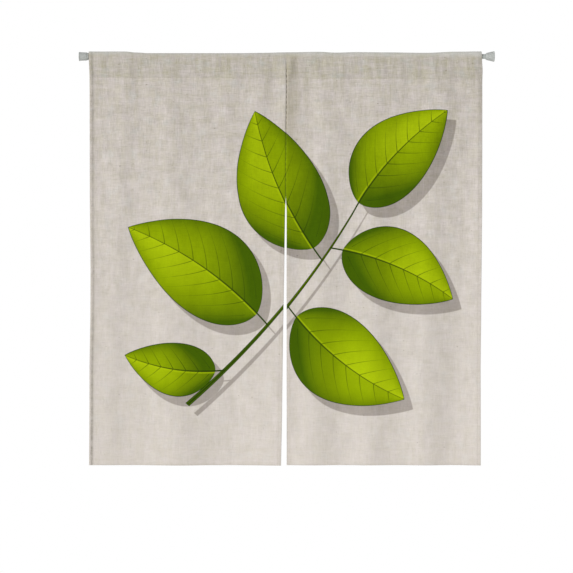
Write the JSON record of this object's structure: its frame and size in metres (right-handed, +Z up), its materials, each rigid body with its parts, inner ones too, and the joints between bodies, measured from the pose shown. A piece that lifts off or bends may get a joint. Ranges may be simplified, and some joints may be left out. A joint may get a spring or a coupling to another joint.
{
  "type": "noren curtain on tension rod",
  "caption": "Split doorway curtain of printed linen-look cloth, two panels sewn together above a middle slit, hung by a sewn sleeve on a tension rod.",
  "frame": {"origin": "centre of the left end cap's flat wall face, on the rod's axis", "axes": "+X along the rod from the left wall to the right wall, -Y towards the room (the printed front), +Z up"},
  "size_m": [0.898, 0.0226, 0.8957],
  "materials": {
    "cloth": "coarse undyed linen weave, matt, printed with green leaves",
    "rod_tube": "pale grey coated steel tube, satin",
    "rod_cap": "pale grey moulded plastic, fine matt texture"
  },
  "bodies": {
    "root": {"panel_left": "cloth", "panel_right": "cloth", "rod_outer_tube": "rod_tube", "rod_inner_tube": "rod_tube", "end_cap_left": "rod_cap", "end_cap_right": "rod_cap"}
  },
  "joints": []
}
